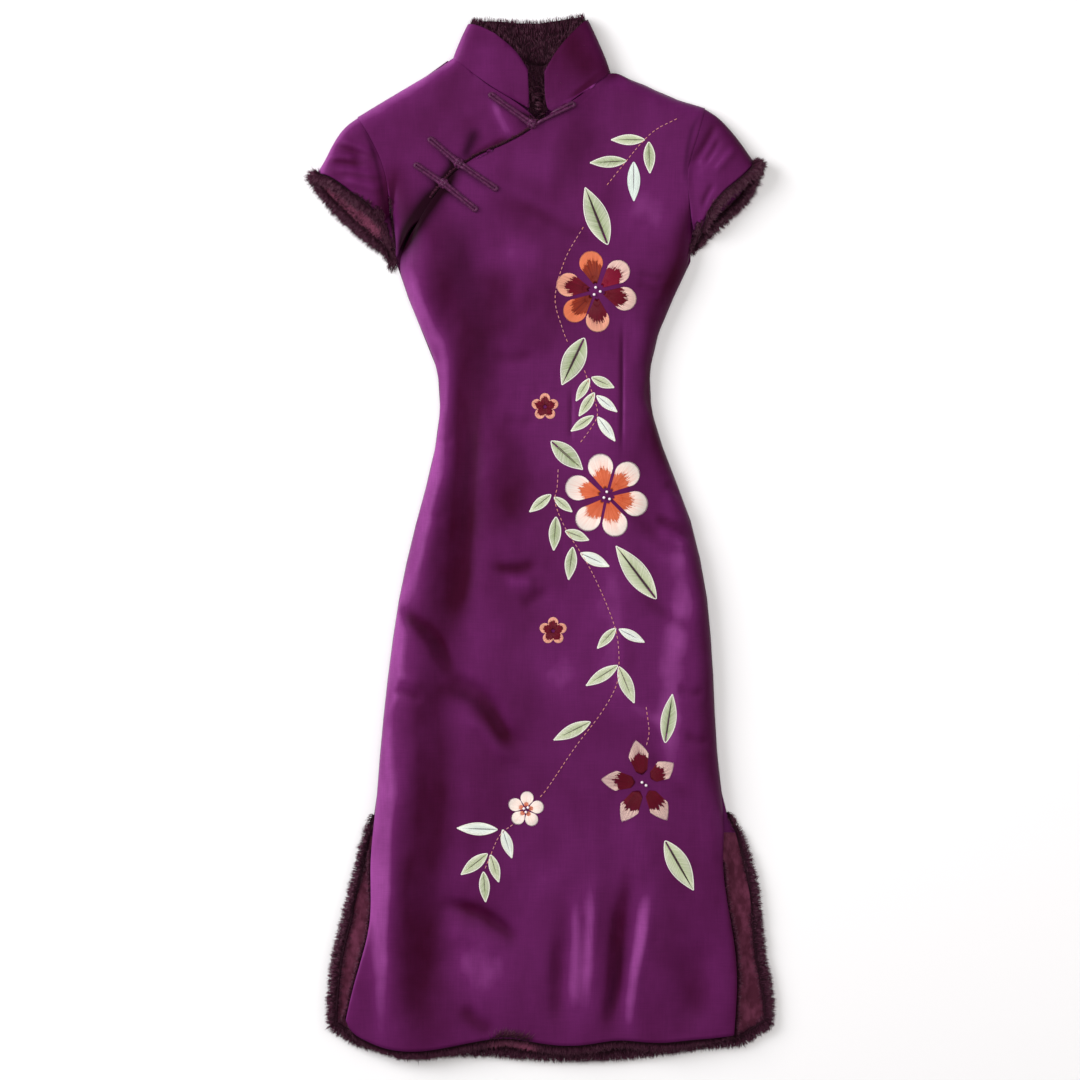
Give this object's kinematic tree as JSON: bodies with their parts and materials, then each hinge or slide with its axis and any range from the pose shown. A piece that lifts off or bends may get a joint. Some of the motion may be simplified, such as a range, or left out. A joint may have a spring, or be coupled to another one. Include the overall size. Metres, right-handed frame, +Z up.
{
  "type": "fur-trimmed cheongsam dress",
  "caption": "Padded silk cheongsam laid flat, with cap sleeves, stand collar, slanting flap with knotted frogs, side slits and dark fur trim.",
  "frame": {"origin": "middle of the garment's outline, on the floor that it lies on", "axes": "+Y from hem to collar, +X to the right seen from above, +Z up from the floor"},
  "size_m": [0.5571, 1.2541, 0.0427],
  "materials": {
    "silk": "soft sheen",
    "fur": "matt",
    "plush": "matt",
    "cord": "soft sheen"
  },
  "bodies": {
    "root": {"front_panel": "silk", "underlap": "silk", "back_panel": "silk", "sleeve_left": "silk", "sleeve_right": "silk", "collar": "silk", "collar_fur": "fur", "cuff_fur_left": "fur", "cuff_fur_right": "fur", "front_fur": "fur", "back_facing": "plush", "back_fur": "fur", "opening_fur": "fur", "frog_neck_knot": "cord", "frog_neck_loop_left": "cord", "frog_neck_loop_right": "cord", "frog_upper_knot": "cord", "frog_upper_loop_left": "cord", "frog_upper_loop_right": "cord", "frog_lower_knot": "cord", "frog_lower_loop_left": "cord", "frog_lower_loop_right": "cord"}
  },
  "joints": []
}
